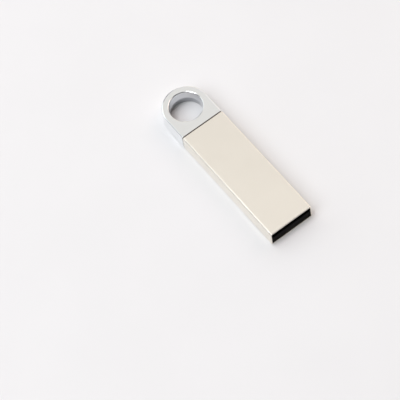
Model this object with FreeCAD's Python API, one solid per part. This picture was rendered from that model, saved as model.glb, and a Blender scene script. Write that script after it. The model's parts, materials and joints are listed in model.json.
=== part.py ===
"""Slim metal USB flash drive: a folded sheet sleeve that is itself the USB Type-A plug shell, closed at its
rear by a cast key-ring loop, with a moulded flash-memory module held inside by a two-part plastic carrier.

Frame, in millimetres: +X points out of the plug's mouth, +Z up, and the origin is at the middle of the
rectangle that the drive covers on the table it lies on. The module's contacts face up, towards +Z.
"""

import FreeCAD, Part
import os

Vector = FreeCAD.Vector
ALONG = Vector(1, 0, 0)
ACROSS = Vector(0, 1, 0)
UP = Vector(0, 0, 1)
TINY = 1e-6                   # for comparing places

# ---- driving dimensions: outside ---------------------------------------------------------------------------
PLUG_WIDTH = 12.0             # outside of a Type-A plug shell
PLUG_HEIGHT = 4.5
WALL = 0.3                    # sheet thickness of the sleeve
CONTACT_SPACE = 1.95          # height of the free space above the contacts
PLUG_DEPTH = 12.1             # how far a socket's tongue may enter that space
SLEEVE_LENGTH = 34.3
SEAM_GAP = 0.2                # visible gap between sleeve and loop
HOLE_TO_SEAM = 6.6            # key-ring hole's axis to the middle of the gap
HOLE_RADIUS = 3.9             # at the narrow land halfway up, where the casting's two mould halves met
HOLE_LAND = 0.5               # height of that land
HOLE_MOUTH_RADIUS = 4.18      # at the loop's faces: the wall is drafted both ways from the land
CORNER_RADIUS = 0.45          # long outer edges of sleeve and loop
LIP_RADIUS = 0.22             # rounding of the key-ring hole's two edges
EDGE_BREAK = 0.08             # rounding of sheet ends and of the loop's shoulder
PLAY = 0.03                   # clearance of each inner part in the sleeve
SLIP = 0.05                   # clearance between parts that latch

FOLD_KEYS = 3                 # dovetail keys along the joint under the sleeve
FOLD_GROOVE = (0.06, 0.1)     # width and depth of that joint's hairline
KEY_TIP, KEY_ROOT, KEY_HEIGHT = 2.4, 1.6, 1.2
PIT_TO_MOUTH, PIT_HEIGHT, PIT_RADIUS, PIT_DEPTH = 5.6, 3.6, 0.26, 0.16

# ---- driving dimensions: tenon of the loop, and carrier ----------------------------------------------------
TENON_LENGTH = 2.8            # solid part of the tenon, measured inside the sleeve
ARM_LENGTH = 3.5              # its two arms grip the carrier's neck
ARM_INNER = 4.5
ARM_TOP = 3.2
ROOT = 0.5                    # how far joined blocks run into each other
BARB_LENGTH, BARB_HEIGHT, BARB_RISE = 0.7, 0.25, 0.9
BARB_TO_END = 0.2
BARB_Z = 0.5
GLUE_DEPTH = 0.06
GLUE_MARGIN = 0.5
GLUE_HALF = 4.6
BEAD_RISE = 0.12              # adhesive bead's height round the tenon

LIP_THICKNESS = 0.5           # carrier wall in front of the module
LIP_SETBACK = 0.3             # from the mouth to that wall
LIP_BEVEL = 0.2
DECK_Z = 1.6                  # where tray and cover part, behind the module
COVER_GAP = 0.02
PIN_RADIUS, PIN_Y, PIN_SETBACK, PIN_DEPTH = 0.6, 2.6, 1.4, 1.1
LEG_LENGTH, LEG_THICKNESS, LEG_FOOT_Z = 0.9, 0.45, 0.75
LEG_SETBACK, LEG_INSET = 1.1, 0.1
LEG_HOOK, LEG_HOOK_RISE = 0.2, 0.3
CORING_WALL, CORING_COLUMNS = 0.6, 4

# ---- driving dimensions: flash-memory module ---------------------------------------------------------------
MODULE_LENGTH = 24.8
MODULE_WIDTH = 11.3
MODULE_THICKNESS = 1.4
MODULE_CORNER = 0.4
SUBSTRATE_THICKNESS = 0.26
GOLD = 0.03                   # thickness of contact and test pads
SOLDER = 0.04
TAPE = 0.05
TAPE_MARGIN = 0.8
DIE_FILM = 0.03

CONTACT_PLACES = {"ground_contact": -3.5, "data_plus_contact": -1.0,
                  "data_minus_contact": 1.0, "vbus_contact": 3.5}
CONTACT_WIDTH = 1.1
CONTACT_CORNER = 0.25
CONTACT_END = 9.4             # rear end of the contacts, from the mouth
POWER_CONTACT_LENGTH = 7.4    # the two outer contacts mate first, so they are longer
DATA_CONTACT_LENGTH = 6.4
TEST_PAD_RADIUS, TEST_PAD_PITCH, TEST_PAD_COLUMNS, TEST_PAD_SETBACK = 0.4, 2.2, 4, 1.6
FOUR_ROWS = (-3.6, -1.2, 1.2, 3.6)

CONTROLLER_PLACE, CONTROLLER_SIZE = (11.2, 0.8), (3.4, 3.2, 0.2)
FLASH_PLACE, FLASH_SIZE = (3.5, 0.0), (9.0, 9.4, 0.16)
STAIR_STEP = 0.5              # the second flash die is set back, to leave the first one's bond pads free
WIRE = 0.04                   # bond wire thickness
WIRE_LOOP = 0.16              # its height over the die
WIRE_INSET, WIRE_FINGER = 0.15, 0.45
CONTROLLER_WIRES, CONTROLLER_WIRE_PITCH = 8, 0.36
FLASH_WIRES, FLASH_WIRE_PITCH = 10, 0.85

CRYSTAL_PLACE, CRYSTAL_SIZE = (17.8, -2.6), (3.2, 2.5, 0.7)
CRYSTAL_PAD, CRYSTAL_PAD_PLACE = (0.9, 0.8), (1.1, 0.8)
SMALL_CHIP = (1.0, 0.5, 0.5, 0.25)     # length, width, height and end terminal of a chip component
FLAT_CHIP = (1.0, 0.5, 0.35, 0.25)
LARGE_CHIP = (1.6, 0.8, 0.8, 0.35)
CHIP_COMPONENTS = {
    "capacitor_bodies": [((14.6, y), SMALL_CHIP) for y in (-4.0, -2.0, 0.0, 2.0, 4.0)]
                        + [((17.8, y), LARGE_CHIP) for y in (1.0, 2.8)],
    "resistor_bodies": [((20.8, y), FLAT_CHIP) for y in FOUR_ROWS],
    "ferrite_bead": [((17.8, 4.6), LARGE_CHIP)],
}

# ---- places worked out from them ---------------------------------------------------------------------------
HALF_WIDTH = PLUG_WIDTH / 2
OVERALL_LENGTH = HALF_WIDTH + HOLE_TO_SEAM + SEAM_GAP / 2 + SLEEVE_LENGTH
MOUTH_X = OVERALL_LENGTH / 2
SLEEVE_REAR = MOUTH_X - SLEEVE_LENGTH
SHOULDER_X = SLEEVE_REAR - SEAM_GAP
HOLE_X = HALF_WIDTH - MOUTH_X

INNER_HALF = HALF_WIDTH - WALL
INNER_FLOOR = WALL
INNER_ROOF = PLUG_HEIGHT - WALL
INNER_RADIUS = CORNER_RADIUS - WALL
FIT_HALF = INNER_HALF - PLAY           # outline of what slides into the sleeve
FIT_FLOOR = INNER_FLOOR + PLAY
FIT_ROOF = INNER_ROOF - PLAY

LIP_FRONT = MOUTH_X - LIP_SETBACK
LIP_REAR = LIP_FRONT - LIP_THICKNESS
MODULE_FRONT = LIP_REAR - SLIP
MODULE_REAR = MODULE_FRONT - MODULE_LENGTH
MODULE_HALF = MODULE_WIDTH / 2
CONTACT_Z = INNER_ROOF - CONTACT_SPACE         # contact faces
BOARD_Z = CONTACT_Z - SUBSTRATE_THICKNESS      # the substrate's component side, facing down
MODULE_FLOOR = CONTACT_Z - MODULE_THICKNESS
TRAY_TOP = MODULE_FLOOR - TAPE

TENON_FRONT = SLEEVE_REAR + TENON_LENGTH
ARM_END = TENON_FRONT + ARM_LENGTH
NECK_HALF = ARM_INNER - SLIP
NECK_REAR = TENON_FRONT + 2 * SLIP
DECK_REAR = ARM_END + 2 * SLIP         # full-width block behind the module
DECK_FRONT = MODULE_REAR - SLIP
COVER_FRONT = MOUTH_X - PLUG_DEPTH


# ---- helpers -----------------------------------------------------------------------------------------------
def box(x0, x1, y0, y1, z0, z1):
    """An axis-aligned box between two corners."""
    return Part.makeBox(x1 - x0, y1 - y0, z1 - z0, Vector(x0, y0, z0))


def hung(place, size, top):
    """A box centred at a place in plan that hangs down from a height."""
    (x, y), (size_x, size_y, height) = place, size
    return box(x - size_x / 2, x + size_x / 2, y - size_y / 2, y + size_y / 2, top - height, top)


def edges_along(shape, axis):
    """The straight edges of shape that run along a unit vector."""
    straight = [e for e in shape.Edges if isinstance(e.Curve, Part.Line)]
    return [e for e in straight if abs(e.tangentAt(e.FirstParameter).dot(axis)) > 1 - TINY]


def edges_at_x(shape, x):
    """The edges of shape that lie wholly in the plane at x."""
    return [e for e in shape.Edges if abs(e.BoundBox.XMin - x) < TINY and abs(e.BoundBox.XMax - x) < TINY]


def level_edges(shape):
    return [e for e in shape.Edges if e.BoundBox.ZLength < TINY]


def bar(x0, x1, half_width, z0, z1, radius):
    """A bar along X with its four long edges rounded."""
    blank = box(x0, x1, -half_width, half_width, z0, z1)
    return blank.makeFillet(radius, edges_along(blank, ALONG))


def upright_prism(points, z0, z1):
    """A prism with vertical sides over a polygon given as (x, y) points."""
    corners = [Vector(x, y, z0) for x, y in points + points[:1]]
    return Part.Face(Part.makePolygon(corners)).extrude(UP * (z1 - z0))


def strip(points, width):
    """The outline, as (x, y) points, of a strip of constant width that follows a centre line."""
    places = [Vector(x, y, 0) for x, y in points]
    normals = [UP.cross(b - a).normalize() for a, b in zip(places, places[1:])]
    left, right = [], []
    for i, place in enumerate(places):
        before, after = normals[max(i - 1, 0)], normals[min(i, len(normals) - 1)]
        middle = (before + after).normalize()
        offset = middle * (width / 2 / middle.dot(before))
        left.append(place + offset)
        right.append(place - offset)
    return [(v.x, v.y) for v in left + right[::-1]]


def both_sides(shape):
    """The shape and its mirror image on the drive's other side."""
    return [shape, shape.mirror(Vector(0, 0, 0), ACROSS)]


# ---- outer pieces ------------------------------------------------------------------------------------------
def make_sleeve():
    """Rectangular tube of folded sheet. Its front 12 mm is the plug shell."""
    outside = bar(SLEEVE_REAR, MOUTH_X, HALF_WIDTH, 0, PLUG_HEIGHT, CORNER_RADIUS)
    end_edges = edges_at_x(outside, SLEEVE_REAR) + edges_at_x(outside, MOUTH_X)
    outside = outside.makeFillet(EDGE_BREAK, end_edges)
    hollow = bar(SLEEVE_REAR - 1, MOUTH_X + 1, INNER_HALF, INNER_FLOOR, INNER_ROOF, INNER_RADIUS)
    return outside.cut([hollow, fold_joint(), side_pit()])


def fold_joint():
    """The hairline where the sheet's two edges meet under the sleeve, with its dovetail keys."""
    width, depth = FOLD_GROOVE
    route = [(SLEEVE_REAR - 1, 0)]
    for i in range(FOLD_KEYS):
        x = SLEEVE_REAR + SLEEVE_LENGTH * (i + 0.5) / FOLD_KEYS
        route += [(x - KEY_ROOT / 2, 0), (x - KEY_TIP / 2, KEY_HEIGHT)]
        route += [(x + KEY_TIP / 2, KEY_HEIGHT), (x + KEY_ROOT / 2, 0)]
    route.append((MOUTH_X + 1, 0))
    return upright_prism(strip(route, width), -1, depth)


def side_pit():
    """A small conical pit in one side wall, near the mouth."""
    pit_mouth = Vector(MOUTH_X - PIT_TO_MOUTH, -HALF_WIDTH, PIT_HEIGHT)
    return Part.makeCone(PIT_RADIUS, PIT_RADIUS / 5, PIT_DEPTH, pit_mouth, ACROSS)


def loop_blank():
    """The loop's plan shape as a solid: a square shoulder and a half-round end."""
    shoulder_right, shoulder_left = (Vector(SHOULDER_X, y, 0) for y in (-HALF_WIDTH, HALF_WIDTH))
    round_right, round_left = (Vector(HOLE_X, y, 0) for y in (-HALF_WIDTH, HALF_WIDTH))
    outline = Part.Wire([
        Part.makeLine(shoulder_right, round_right),
        Part.Arc(round_right, Vector(HOLE_X - HALF_WIDTH, 0, 0), round_left).toShape(),
        Part.makeLine(round_left, shoulder_left),
        Part.makeLine(shoulder_left, shoulder_right)])
    return Part.Face(outline).extrude(UP * PLUG_HEIGHT)


def keyring_hole():
    """The key-ring hole as a solid: a short cylinder with a cone opening from each end of it."""
    middle = PLUG_HEIGHT / 2
    land = middle - HOLE_LAND / 2
    profile = [(0, 0), (HOLE_MOUTH_RADIUS, 0), (HOLE_RADIUS, land), (HOLE_RADIUS, PLUG_HEIGHT - land),
               (HOLE_MOUTH_RADIUS, PLUG_HEIGHT), (0, PLUG_HEIGHT), (0, 0)]
    section = Part.Face(Part.makePolygon([Vector(HOLE_X + r, 0, z) for r, z in profile]))
    return section.revolve(Vector(HOLE_X, 0, 0), UP, 360)


def make_ring_cap():
    """The cast key-ring loop, with a tenon and two barbed arms that enter the sleeve."""
    loop = loop_blank()
    loop = loop.makeFillet(CORNER_RADIUS, [e for e in level_edges(loop) if e.BoundBox.XMin < SHOULDER_X - TINY])
    loop = loop.makeFillet(EDGE_BREAK, edges_at_x(loop, SHOULDER_X))
    loop = loop.cut(keyring_hole())
    rim = [e for e in level_edges(loop)
           if isinstance(e.Curve, Part.Circle) and abs(e.Curve.Radius - HOLE_MOUTH_RADIUS) < TINY]
    loop = loop.makeFillet(LIP_RADIUS, rim)
    tenon = bar(SHOULDER_X - ROOT, TENON_FRONT, FIT_HALF, FIT_FLOOR, FIT_ROOF, INNER_RADIUS)
    tenon = tenon.cut([glue_pad(FIT_ROOF - GLUE_DEPTH, FIT_ROOF), glue_pad(FIT_FLOOR, FIT_FLOOR + GLUE_DEPTH)])
    arm = box(TENON_FRONT - ROOT, ARM_END, ARM_INNER, FIT_HALF - SLIP, FIT_FLOOR + SLIP, ARM_TOP)
    arm = arm.fuse(barb(BARB_HEIGHT))
    return loop.fuse([tenon] + both_sides(arm)).removeSplitter()


def glue_pad(z0, z1):
    """What fills an adhesive recess in the tenon's upper or lower face, between two heights."""
    return box(SLEEVE_REAR + GLUE_MARGIN, TENON_FRONT - GLUE_MARGIN, -GLUE_HALF, GLUE_HALF, z0, z1)


def barb(height):
    """The ramped barb on an arm's inner face. It points towards the middle of the drive."""
    x1 = ARM_END - BARB_TO_END
    x0 = x1 - BARB_LENGTH
    ramp = [(x0, ARM_INNER), (x0, ARM_INNER - height), (x1, ARM_INNER)]
    return upright_prism(ramp, BARB_Z, BARB_Z + BARB_RISE)


def make_cap_adhesive():
    """Adhesive in the tenon's two recesses, and a bead round the tenon at the bottom of the seam gap."""
    pads = [glue_pad(FIT_ROOF - GLUE_DEPTH, INNER_ROOF), glue_pad(INNER_FLOOR, FIT_FLOOR + GLUE_DEPTH)]
    bead = bar(SHOULDER_X, SLEEVE_REAR, FIT_HALF + BEAD_RISE, FIT_FLOOR - BEAD_RISE, FIT_ROOF + BEAD_RISE,
               INNER_RADIUS + BEAD_RISE)
    tenon = bar(SHOULDER_X - 1, SLEEVE_REAR + 1, FIT_HALF, FIT_FLOOR, FIT_ROOF, INNER_RADIUS)
    return Part.makeCompound(pads + [bead.cut(tenon)])


# ---- plastic carrier ---------------------------------------------------------------------------------------
def locating_pins(radius, z0, z1):
    """Two round pins of the cover, or with a larger radius the holes for them."""
    places = [Vector(NECK_REAR + PIN_SETBACK, y, z0) for y in (-PIN_Y, PIN_Y)]
    return [Part.makeCylinder(radius, z1 - z0, place) for place in places]


def latch_leg(play):
    """One latch leg of the cover with its inward hook, or with some play the slot that takes it."""
    middle = DECK_FRONT - LEG_SETBACK
    x0, x1 = middle - LEG_LENGTH / 2 - play, middle + LEG_LENGTH / 2 + play
    outer = FIT_HALF - LEG_INSET + play
    inner = FIT_HALF - LEG_INSET - LEG_THICKNESS - play
    foot = LEG_FOOT_Z - play
    leg = box(x0, x1, inner, outer, foot, DECK_Z + COVER_GAP + ROOT)
    hook = box(x0, x1, inner - LEG_HOOK, inner, foot, LEG_FOOT_Z + LEG_HOOK_RISE + play)
    return leg.fuse(hook)


def make_carrier_tray():
    """Lower half of the carrier: floor, front lip, and the block and neck behind the module."""
    floor = bar(DECK_REAR, LIP_FRONT, FIT_HALF, FIT_FLOOR, TRAY_TOP, INNER_RADIUS)
    deck = bar(DECK_REAR, DECK_FRONT, FIT_HALF, FIT_FLOOR, DECK_Z, INNER_RADIUS)
    neck = box(NECK_REAR, DECK_REAR, -NECK_HALF, NECK_HALF, FIT_FLOOR, DECK_Z)
    pin_holes = locating_pins(PIN_RADIUS + SLIP, DECK_Z - PIN_DEPTH - SLIP, DECK_Z)
    notches = both_sides(barb(BARB_HEIGHT + SLIP))
    slots = both_sides(latch_leg(SLIP))
    tray = floor.fuse([front_lip(), deck, neck])
    return tray.cut(pin_holes + notches + slots).removeSplitter()


def front_lip():
    """The low wall in front of the module, with a bevel that leads a socket's tongue in."""
    top = CONTACT_Z - SLIP
    lip = bar(LIP_REAR, LIP_FRONT, FIT_HALF, FIT_FLOOR, top, INNER_RADIUS)
    bevel = Part.makePolygon([Vector(LIP_FRONT, -FIT_HALF, top), Vector(LIP_FRONT - LIP_BEVEL, -FIT_HALF, top),
                              Vector(LIP_FRONT, -FIT_HALF, top - LIP_BEVEL), Vector(LIP_FRONT, -FIT_HALF, top)])
    return lip.cut(Part.Face(bevel).extrude(ACROSS * 2 * FIT_HALF))


def make_carrier_cover():
    """Upper half of the carrier: it fills the sleeve behind the socket space and presses on the module."""
    over_module = bar(DECK_FRONT, COVER_FRONT, FIT_HALF, CONTACT_Z + COVER_GAP, FIT_ROOF, INNER_RADIUS)
    over_deck = bar(DECK_REAR, DECK_FRONT, FIT_HALF, DECK_Z + COVER_GAP, FIT_ROOF, INNER_RADIUS)
    over_neck = box(NECK_REAR, DECK_REAR, -NECK_HALF, NECK_HALF, DECK_Z + COVER_GAP, FIT_ROOF)
    pins = locating_pins(PIN_RADIUS, DECK_Z - PIN_DEPTH, DECK_Z + ROOT)
    cover = over_module.fuse([over_deck, over_neck] + pins + both_sides(latch_leg(0)))
    return cover.cut(coring_pockets()).removeSplitter()


def coring_pockets():
    """Pockets that keep the moulded cover's walls thin, in two rows open to the module."""
    pitch = (COVER_FRONT - DECK_FRONT - CORING_WALL) / CORING_COLUMNS
    pockets = []
    for column in range(CORING_COLUMNS):
        x0 = DECK_FRONT + CORING_WALL + column * pitch
        pocket = box(x0, x0 + pitch - CORING_WALL, CORING_WALL / 2, FIT_HALF - CORING_WALL,
                     CONTACT_Z, FIT_ROOF - CORING_WALL)
        pockets += both_sides(pocket)
    return pockets


# ---- flash-memory module -----------------------------------------------------------------------------------
def module_slab(z0, z1):
    """A layer of the module, with its four corners rounded in plan."""
    blank = box(MODULE_REAR, MODULE_FRONT, -MODULE_HALF, MODULE_HALF, z0, z1)
    return blank.makeFillet(MODULE_CORNER, edges_along(blank, UP))


def make_contact(name):
    """One gold contact, let into the substrate's upper face."""
    length = DATA_CONTACT_LENGTH if name.startswith("data") else POWER_CONTACT_LENGTH
    middle = (MOUTH_X - CONTACT_END + length / 2, CONTACT_PLACES[name])
    pad = hung(middle, (length, CONTACT_WIDTH, GOLD), CONTACT_Z)
    return pad.makeFillet(CONTACT_CORNER, edges_along(pad, UP))


def make_test_pads():
    """Round gold test points on the contact side, hidden under the cover."""
    columns = [MODULE_REAR + TEST_PAD_SETBACK + i * TEST_PAD_PITCH for i in range(TEST_PAD_COLUMNS)]
    return Part.makeCompound([Part.makeCylinder(TEST_PAD_RADIUS, GOLD, Vector(x, y, CONTACT_Z - GOLD))
                              for x in columns for y in FOUR_ROWS])


def make_dies():
    """The silicon dies under the substrate, and the adhesive films that hold them."""
    dies, films = {}, []

    def attach(name, place, size, top):
        films.append(hung(place, (size[0], size[1], DIE_FILM), top))
        dies[name] = hung(place, size, top - DIE_FILM)

    flash_x, flash_y = FLASH_PLACE
    attach("controller_die", CONTROLLER_PLACE, CONTROLLER_SIZE, BOARD_Z)
    attach("flash_die_first", FLASH_PLACE, FLASH_SIZE, BOARD_Z)
    attach("flash_die_second", (flash_x - STAIR_STEP, flash_y), FLASH_SIZE, BOARD_Z - DIE_FILM - FLASH_SIZE[2])
    dies["die_attach_films"] = Part.makeCompound(films)
    return dies


def bond_wire(x_die, x_board, y, die_face):
    """One wire from a pad on a die's face, looped down, over and up to a finger on the substrate."""
    way = 1 if x_board > x_die else -1
    loop_z = die_face - WIRE_LOOP
    route = [(x_die, die_face + WIRE), (x_die, loop_z), (x_die + way * 2 * WIRE_INSET, loop_z),
             (x_board, BOARD_Z - WIRE), (x_board, BOARD_Z + WIRE)]
    corners = [Vector(x, y - WIRE / 2, z) for x, z in strip(route, WIRE)]
    wire = Part.Face(Part.makePolygon(corners + corners[:1])).extrude(ACROSS * WIRE)
    below_board = box(x_die - 2, x_die + 2, y - 1, y + 1, MODULE_FLOOR, BOARD_Z)
    return wire.common(below_board)


def make_bond_wires(dies):
    """Rows of wires from both ends of the controller, and from the front edge of each flash die."""
    x, y = CONTROLLER_PLACE
    length, _, thickness = CONTROLLER_SIZE
    controller_wires = []
    for way in (-1, 1):
        edge = x + way * length / 2
        for i in range(CONTROLLER_WIRES):
            wire_y = y + (i - (CONTROLLER_WIRES - 1) / 2) * CONTROLLER_WIRE_PITCH
            controller_wires.append(bond_wire(edge - way * WIRE_INSET, edge + way * WIRE_FINGER, wire_y,
                                              BOARD_Z - DIE_FILM - thickness))
    x, y = FLASH_PLACE
    length, _, thickness = FLASH_SIZE
    flash_wires = []
    for level in range(2):
        edge = x + length / 2 - level * STAIR_STEP
        finger_x = x + length / 2 + WIRE_FINGER * (1 + level / 2)
        for i in range(FLASH_WIRES):
            wire_y = y + (i - (FLASH_WIRES - 1 - level) / 2) * FLASH_WIRE_PITCH
            flash_wires.append(bond_wire(edge - WIRE_INSET, finger_x, wire_y,
                                         BOARD_Z - (level + 1) * (DIE_FILM + thickness)))
    silicon = [solid for shape in dies.values() for solid in shape.Solids]
    return {"controller_bond_wires": Part.makeCompound([wire.cut(silicon) for wire in controller_wires]),
            "flash_bond_wires": Part.makeCompound([wire.cut(silicon) for wire in flash_wires])}


def make_chip_components():
    """Capacitors, resistors and bead, with all their end terminals and the solder under them."""
    made, terminals, joints = {}, [], []
    top = BOARD_Z - SOLDER
    for name, members in CHIP_COMPONENTS.items():
        bodies = []
        for (x, y), (length, width, height, end) in members:
            bodies.append(hung((x, y), (length - 2 * end, width, height), top))
            for end_x in (x - (length - end) / 2, x + (length - end) / 2):
                terminals.append(hung((end_x, y), (end, width, height), top))
                joints.append(hung((end_x, y), (end, width, SOLDER), BOARD_Z))
        made[name] = Part.makeCompound(bodies)
    x, y = CRYSTAL_PLACE
    pad_x, pad_y = CRYSTAL_PAD_PLACE
    for place in ((x - pad_x, y - pad_y), (x - pad_x, y + pad_y), (x + pad_x, y - pad_y), (x + pad_x, y + pad_y)):
        joints.append(hung(place, (*CRYSTAL_PAD, SOLDER), BOARD_Z))
    made["chip_terminals"] = Part.makeCompound(terminals)
    made["solder_joints"] = Part.makeCompound(joints)
    return made


def make_crystal():
    """Timing crystal: a ceramic base soldered to the substrate, and a metal lid on it."""
    length, width, height = CRYSTAL_SIZE
    base_height, lid_margin, corner = 0.6 * height, 0.25, 0.2
    top = BOARD_Z - SOLDER
    base = hung(CRYSTAL_PLACE, (length, width, base_height), top)
    lid_size = (length - 2 * lid_margin, width - 2 * lid_margin, height - base_height)
    lid = hung(CRYSTAL_PLACE, lid_size, top - base_height)
    return {"crystal_base": base.makeFillet(corner, edges_along(base, UP)),
            "crystal_lid": lid.makeFillet(corner, edges_along(lid, UP))}


def make_module():
    """Every piece of the module, by name. The encapsulant is moulded round what the substrate carries."""
    gold = {name: make_contact(name) for name in CONTACT_PLACES}
    gold["test_pads"] = make_test_pads()
    dies = make_dies()
    carried = {**dies, **make_bond_wires(dies), **make_chip_components(), **make_crystal()}
    carried_solids = [solid for shape in carried.values() for solid in shape.Solids]
    return {
        **gold,
        "module_substrate": module_slab(BOARD_Z, CONTACT_Z).cut(list(gold.values())),
        "module_encapsulant": module_slab(MODULE_FLOOR, BOARD_Z).cut(carried_solids),
        **carried,
        "module_tape": box(MODULE_REAR + TAPE_MARGIN, MODULE_FRONT - TAPE_MARGIN,
                           TAPE_MARGIN - MODULE_HALF, MODULE_HALF - TAPE_MARGIN, TRAY_TOP, MODULE_FLOOR),
    }


# ---- the whole drive ---------------------------------------------------------------------------------------
def make_drive():
    return {
        "sleeve": make_sleeve(),
        "ring_cap": make_ring_cap(),
        "cap_adhesive": make_cap_adhesive(),
        "carrier_tray": make_carrier_tray(),
        "carrier_cover": make_carrier_cover(),
        **make_module(),
    }


def main():
    os.makedirs("parts", exist_ok=True)
    for name, shape in make_drive().items():
        shape.exportStep(f"parts/{name}.step")
        print(f"{name:24s} {len(shape.Solids):3d} solids {shape.Volume:10.3f} mm3 valid {shape.isValid()}")


if __name__ == "__main__":
    main()
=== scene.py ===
"""The looks of a slim metal USB flash drive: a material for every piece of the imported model, a pale floor,
soft light and the camera. Lengths are in metres, in the CAD frame: +X out of the plug's mouth, +Z up."""

import json
from math import cos, pi, radians, sin

import bpy
from mathutils import Matrix, Vector

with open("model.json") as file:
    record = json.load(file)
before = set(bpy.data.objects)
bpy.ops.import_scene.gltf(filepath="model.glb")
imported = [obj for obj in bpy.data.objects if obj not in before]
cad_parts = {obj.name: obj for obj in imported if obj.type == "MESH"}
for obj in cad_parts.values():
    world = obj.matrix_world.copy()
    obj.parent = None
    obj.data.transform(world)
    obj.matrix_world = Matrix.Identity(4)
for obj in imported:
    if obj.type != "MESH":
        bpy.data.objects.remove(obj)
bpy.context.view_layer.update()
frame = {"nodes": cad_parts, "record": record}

MM = 1e-3
UM = 1e-6

# ---- camera ----------------------------------------------------------------------------------------------
CAMERA_AZIMUTH = radians(63.885)       # round the drive, 0 looks along +Y
CAMERA_ELEVATION = radians(60.06)
CAMERA_ROLL = radians(-12.33)
CAMERA_DISTANCE = 479.2 * MM
CAMERA_AIM = Vector((3.05, -11.69, 0.0)) * MM
SENSOR_WIDTH = 36.0                    # this and the lens are in millimetres, as Blender takes them
LENS = 182.28
NEAR_CLIP, FAR_CLIP = 0.01, 10.0

# ---- floor -----------------------------------------------------------------------------------------------
FLOOR_COLOUR = (0.785, 0.777, 0.782)
FLOOR_SHADE = 0.985                    # how dark its darkest patches are, against the rest
FLOOR_HALF_WIDTH = 2.0
FLOOR_DROP = 0.01 * MM                 # keeps the floor off the drive's underside

# ---- light, as the radiance that a surface sees ----------------------------------------------------------
ROOM_LIGHT = (0.11, 0.11, 0.11)
SOFTBOX_DISTANCE = 1.3
# name: direction round the drive in degrees (0 is +X), angle above the floor, width, height, radiance, colour
SOFTBOXES = {
    "window": (275, 49, 0.75, 0.75, 3.65, (0.96, 0.98, 1.0)),
    "overhead_left": (220, 73, 0.45, 0.40, 5.0, (0.92, 0.93, 1.0)),
    "overhead_right": (265, 72, 0.70, 0.36, 4.65, (0.97, 1.0, 1.0)),
    "zenith": (0, 89.5, 0.50, 0.50, 0.60, (1.0, 1.0, 1.0)),
    "left_high": (203, 43, 0.85, 0.74, 1.28, (0.92, 1.0, 1.0)),
    "left_low": (216, 12, 2.0, 0.54, 1.08, (0.94, 0.93, 1.0)),
    "front_low": (325, 10, 1.8, 0.45, 0.45, (1.0, 1.0, 1.0)),
    "ceiling": (152, 60, 0.85, 0.60, 0.75, (1.0, 0.98, 0.945)),
    "back_high": (140, 35, 1.2, 0.50, 0.88, (0.92, 0.90, 1.0)),
    "back_low": (122, 11, 2.2, 0.50, 1.1, (1.0, 0.94, 0.72)),
    "lamp": (92, 48, 0.65, 0.95, 2.35, (1.0, 0.85, 0.77)),
}

# ---- the key-ring hole, where shade is painted on the chrome plate ---------------------------------------
HOLE_X = next(m["pos_m"][0] for m in frame["record"]["mounts"] if m["name"] == "keyring_hole")
HOLE_RADII = (4.10 * MM, 4.22 * MM)    # painted shade: the plate is darker within the first and bright beyond the second
HOLE_HEIGHTS = (2.1 * MM, 2.5 * MM)    # the painted shade is darkest in the hole below the first
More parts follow.
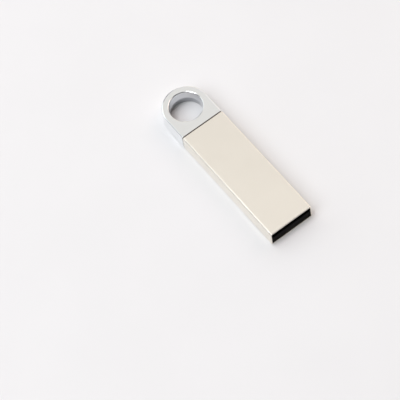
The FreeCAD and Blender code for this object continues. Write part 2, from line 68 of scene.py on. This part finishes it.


# ---- node helpers ----------------------------------------------------------------------------------------
class Surface:
    """A Principled material, with the few node chains that vary it over a surface."""

    NOISE_RANGE = (0.3, 0.7)           # most of a noise texture's values lie between these

    def __init__(self, name, **constants):
        self.material = bpy.data.materials.new(name)
        self.material.use_nodes = True
        self.tree = self.material.node_tree
        self.shader = self.tree.nodes["Principled BSDF"]
        for socket, value in constants.items():
            title = socket.replace("_", " ").title().replace("Ior", "IOR")
            self.shader.inputs[title].default_value = value

    def node(self, kind, settings=None, **inputs):
        """A new node. An input is either a value or the socket that it is linked to."""
        node = self.tree.nodes.new(kind)
        for name, value in (settings or {}).items():
            setattr(node, name, value)
        for name, value in inputs.items():
            socket = node.inputs[name.replace("_", " ")]
            if isinstance(value, bpy.types.NodeSocket):
                self.tree.links.new(value, socket)
            else:
                socket.default_value = value
        return node

    def place(self, stretch=(1, 1, 1), shift=(0, 0, 0)):
        """Positions on the object, scaled along each axis and then shifted."""
        where = self.node("ShaderNodeTexCoord").outputs["Object"]
        mapping = self.node("ShaderNodeMapping", Vector=where, Scale=stretch, Location=shift)
        return mapping.outputs["Vector"]

    def noise(self, feature, stretch=(1, 1, 1), detail=3.0):
        """Noise from 0 to 1 whose features are about the given size."""
        texture = self.node("ShaderNodeTexNoise", Vector=self.place(stretch), Scale=1 / feature, Detail=detail)
        return texture.outputs["Fac"]

    def remap(self, source, low, high, new_low, new_high):
        """source between low and high, stretched to a new range and clamped there."""
        node = self.node("ShaderNodeMapRange", {"interpolation_type": "SMOOTHSTEP"}, Value=source,
                         From_Min=low, From_Max=high, To_Min=new_low, To_Max=new_high)
        return node.outputs["Result"]

    def vary(self, noise, new_low=0.0, new_high=1.0):
        """A noise that fills a new range."""
        return self.remap(noise, *self.NOISE_RANGE, new_low, new_high)

    def both(self, first, second):
        """The product of two masks."""
        node = self.node("ShaderNodeMath", {"operation": "MULTIPLY"})
        self.tree.links.new(first, node.inputs[0])
        self.tree.links.new(second, node.inputs[1])
        return node.outputs["Value"]

    def mix(self, mask):
        """A mix of two colours: their two inputs and the result, which is the second where the mask is 1."""
        node = self.node("ShaderNodeMix", {"data_type": "RGBA"}, Factor=mask)
        first, second = (s for s in node.inputs if s.type == "RGBA")
        return first, second, next(s for s in node.outputs if s.type == "RGBA")

    def tint(self, mask, dark, light):
        """Base colour that runs between two colours."""
        first, second, result = self.mix(mask)
        first.default_value, second.default_value = (*dark, 1), (*light, 1)
        self.tree.links.new(result, self.shader.inputs["Base Color"])

    def paint_shade(self, mask, colour):
        """Paints shade: turns the base colour to another one where the mask is 1."""
        base = self.shader.inputs["Base Color"]
        unshaded, shade_colour, result = self.mix(mask)
        self.tree.links.new(base.links[0].from_socket, unshaded)
        shade_colour.default_value = (*colour, 1)
        self.tree.links.new(result, base)

    def roughen(self, source):
        self.tree.links.new(source, self.shader.inputs["Roughness"])

    def bump(self, source, depth):
        """Relief of a real depth in metres."""
        node = self.node("ShaderNodeBump", Height=source, Distance=depth)
        self.tree.links.new(node.outputs["Normal"], self.shader.inputs["Normal"])


# ---- materials -------------------------------------------------------------------------------------------
def satin_nickel():
    """Satin nickel plate on sheet: slow mottling, a fine lengthwise grain and the sheet's own faint waves."""
    s = Surface("satin_nickel", metallic=1.0)
    s.tint(s.vary(s.noise(9 * MM, detail=2.0)), (0.870, 0.822, 0.742), (0.890, 0.842, 0.762))
    grain = s.noise(0.12 * MM, stretch=(0.03, 1, 1), detail=2.0)
    s.roughen(s.remap(grain, 0.25, 0.75, 0.235, 0.260))
    s.bump(s.noise(1.6 * MM, stretch=(0.2, 1, 1), detail=1.0), 0.5 * UM)
    return s.material


def chrome_plate():
    """Bright chrome plate on a casting whose skin is very slightly wavy. Shade is painted on the plate in the
    hole, darkest on the lower half of its wall."""
    s = Surface("chrome_plate", metallic=1.0)
    s.tint(s.vary(s.noise(6 * MM, detail=2.0)), (0.850, 0.858, 0.860), (0.870, 0.878, 0.880))
    off_axis = s.node("ShaderNodeVectorMath", {"operation": "LENGTH"},
                      Vector=s.place((1, 1, 0), (-HOLE_X, 0, 0))).outputs["Value"]
    height = s.node("ShaderNodeSeparateXYZ", Vector=s.place()).outputs["Z"]
    hole_shade_mask = s.remap(off_axis, *HOLE_RADII, 1, 0)
    # painted shade: the plate's colour is darkened in the hole, and darker still on the lower half of its wall
    s.paint_shade(hole_shade_mask, (0.70, 0.71, 0.73))
    s.paint_shade(s.both(hole_shade_mask, s.remap(height, *HOLE_HEIGHTS, 1, 0)), (0.38, 0.39, 0.41))
    s.roughen(s.vary(s.noise(1.5 * MM, detail=2.0), 0.095, 0.115))
    s.bump(s.noise(2.2 * MM, detail=1.0), 3 * UM)
    return s.material


def moulded_plastic(name, dark, light, roughness, grain, depth):
    """Black moulded plastic or epoxy with an even fine texture. roughness is its lowest and highest."""
    s = Surface(name, specular_ior_level=0.05)
    speckle = s.noise(grain, detail=4.0)
    s.tint(s.vary(s.noise(3 * MM)), dark, light)
    s.roughen(s.vary(speckle, *roughness))
    s.bump(speckle, depth)
    return s.material


def gold_plate():
    """Hard gold plate with the lengthwise rub marks that a socket's springs leave."""
    s = Surface("gold_plate", metallic=1.0)
    rub = s.noise(0.12 * MM, stretch=(0.02, 1, 1), detail=2.0)
    s.tint(s.remap(rub, 0.3, 0.75, 0, 1), (0.80, 0.56, 0.24), (0.96, 0.72, 0.36))
    s.roughen(s.vary(rub, 0.20, 0.34))
    s.bump(rub, 0.1 * UM)
    return s.material


def solder_mask():
    """Black solder mask, glossier than plastic, with the laminate's weave just showing."""
    s = Surface("solder_mask", specular_ior_level=0.5)
    weave = s.node("ShaderNodeTexWave", {"bands_direction": "X"}, Vector=s.place(), Scale=1 / (1.6 * MM),
                   Distortion=1.5, Detail=2.0).outputs["Fac"]
    s.tint(s.vary(s.noise(4 * MM)), (0.010, 0.011, 0.012), (0.016, 0.017, 0.019))
    s.roughen(s.vary(s.noise(0.4 * MM), 0.26, 0.36))
    s.bump(weave, 1.5 * UM)
    return s.material


def silicon():
    """Ground silicon: dark, glossy, faintly blue."""
    s = Surface("silicon", metallic=0.85)
    s.tint(s.vary(s.noise(1.5 * MM)), (0.15, 0.155, 0.18), (0.21, 0.21, 0.24))
    grind = s.noise(0.05 * MM, stretch=(0.1, 1, 1))
    s.roughen(s.vary(grind, 0.12, 0.22))
    s.bump(grind, 0.2 * UM)
    return s.material


def fired_ceramic(name, dark, light):
    """Fine-grained matte ceramic, as on chip capacitors and resistors."""
    s = Surface(name)
    speckle = s.noise(0.06 * MM, detail=4.0)
    s.tint(s.vary(speckle), dark, light)
    s.roughen(s.vary(speckle, 0.45, 0.6))
    s.bump(speckle, 1.5 * UM)
    return s.material


def tinned_metal():
    """Tin and solder, softly wrinkled as they froze."""
    s = Surface("tinned_metal", metallic=1.0)
    frost = s.noise(0.12 * MM, detail=5.0)
    s.tint(s.vary(frost), (0.62, 0.62, 0.62), (0.76, 0.76, 0.75))
    s.roughen(s.vary(frost, 0.22, 0.42))
    s.bump(frost, 2.5 * UM)
    return s.material


def adhesive_and_seam_shade():
    """Dark brown cured adhesive with a soft skin; its dark brown is also painted shade in the seam's gap."""
    s = Surface("adhesive_and_seam_shade", specular_ior_level=0.5)
    skin = s.noise(0.5 * MM)
    s.tint(s.vary(skin), (0.045, 0.030, 0.020), (0.085, 0.058, 0.040))
    s.roughen(s.vary(skin, 0.35, 0.55))
    s.bump(skin, 8 * UM)
    return s.material


def white_card():
    """Matte white card with a fine tooth."""
    s = Surface("white_card", specular_ior_level=0.2)
    shaded = tuple(FLOOR_SHADE * c for c in FLOOR_COLOUR)
    s.tint(s.vary(s.noise(30 * MM)), shaded, FLOOR_COLOUR)
    tooth = s.noise(0.6 * MM, detail=4.0)
    s.roughen(s.vary(tooth, 0.8, 0.95))
    s.bump(tooth, 3 * UM)
    return s.material


def dress_nodes():
    """Gives each CAD node the detailed material of its record slot."""
    made = {
        "sleeve_metal": satin_nickel(),
        "cap_metal": chrome_plate(),
        "adhesive": adhesive_and_seam_shade(),
        "carrier_plastic": moulded_plastic("carrier_plastic", (0.002, 0.002, 0.002), (0.003, 0.003, 0.003),
                                           (0.42, 0.58), 0.10 * MM, 3 * UM),
        "moulding_compound": moulded_plastic("moulding_compound", (0.005, 0.005, 0.005), (0.010, 0.010, 0.010),
                                             (0.52, 0.68), 0.05 * MM, 2 * UM),
        "gold": gold_plate(),
        "solder_mask": solder_mask(),
        "silicon": silicon(),
        "ceramic_tan": fired_ceramic("ceramic_tan", (0.36, 0.25, 0.14), (0.50, 0.37, 0.23)),
        "ceramic_black": fired_ceramic("ceramic_black", (0.018, 0.018, 0.018), (0.035, 0.035, 0.035)),
        "tin": tinned_metal(),
    }
    for part in frame["record"]["subparts"]:
        for slot in frame["nodes"][part["node"]].material_slots:
            slot.material = made[part["material_slot"]]


# ---- floor, light and camera -----------------------------------------------------------------------------
def make_floor():
    """A large flat sheet of white card just under the drive."""
    half, level = FLOOR_HALF_WIDTH, -FLOOR_DROP
    mesh = bpy.data.meshes.new("floor")
    mesh.from_pydata([(-half, -half, level), (half, -half, level), (half, half, level), (-half, half, level)],
                     [], [(0, 1, 2, 3)])
    mesh.materials.append(white_card())
    floor = bpy.data.objects.new("floor", mesh)
    bpy.context.scene.collection.objects.link(floor)


def make_softbox(name, place, width, height, radiance, colour):
    """A rectangular area light of known radiance, facing the drive."""
    light = bpy.data.lights.new(name, "AREA")
    light.shape = "RECTANGLE"
    light.size, light.size_y = width, height
    light.energy = pi * width * height * radiance
    light.color = colour
    lamp = bpy.data.objects.new(name, light)
    lamp.location = place
    lamp.rotation_mode = "QUATERNION"
    lamp.rotation_quaternion = (-place).to_track_quat("-Z", "Y")
    bpy.context.scene.collection.objects.link(lamp)


def make_lights():
    """An even dim room, and the softboxes round the drive."""
    world = bpy.data.worlds.new("room")
    world.use_nodes = True
    world.node_tree.nodes["Background"].inputs["Color"].default_value = (*ROOM_LIGHT, 1)
    bpy.context.scene.world = world
    for name, (direction, rise, *rest) in SOFTBOXES.items():
        way, lift = radians(direction), radians(rise)
        place = SOFTBOX_DISTANCE * Vector((cos(way) * cos(lift), sin(way) * cos(lift), sin(lift)))
        make_softbox(name, place, *rest)


def make_camera():
    """A long lens above the plug's side of the drive, turned a little about its own axis."""
    level = Vector((cos(CAMERA_AZIMUTH), sin(CAMERA_AZIMUTH), 0))
    back = Vector((sin(CAMERA_AZIMUTH) * cos(CAMERA_ELEVATION),
                   -cos(CAMERA_AZIMUTH) * cos(CAMERA_ELEVATION), sin(CAMERA_ELEVATION)))
    upright = back.cross(level)
    right = level * cos(CAMERA_ROLL) + upright * sin(CAMERA_ROLL)
    up = back.cross(right)
    camera = bpy.data.objects.new("camera", bpy.data.cameras.new("camera"))
    camera.data.sensor_width = SENSOR_WIDTH
    camera.data.lens = LENS
    camera.data.clip_start, camera.data.clip_end = NEAR_CLIP, FAR_CLIP
    place = CAMERA_AIM + back * CAMERA_DISTANCE
    camera.matrix_world = Matrix.Translation(place) @ Matrix((right, up, back)).transposed().to_4x4()
    bpy.context.scene.collection.objects.link(camera)
    bpy.context.scene.camera = camera


bpy.context.scene.view_settings.view_transform = "Standard"
make_camera()
make_lights()
make_floor()
dress_nodes()
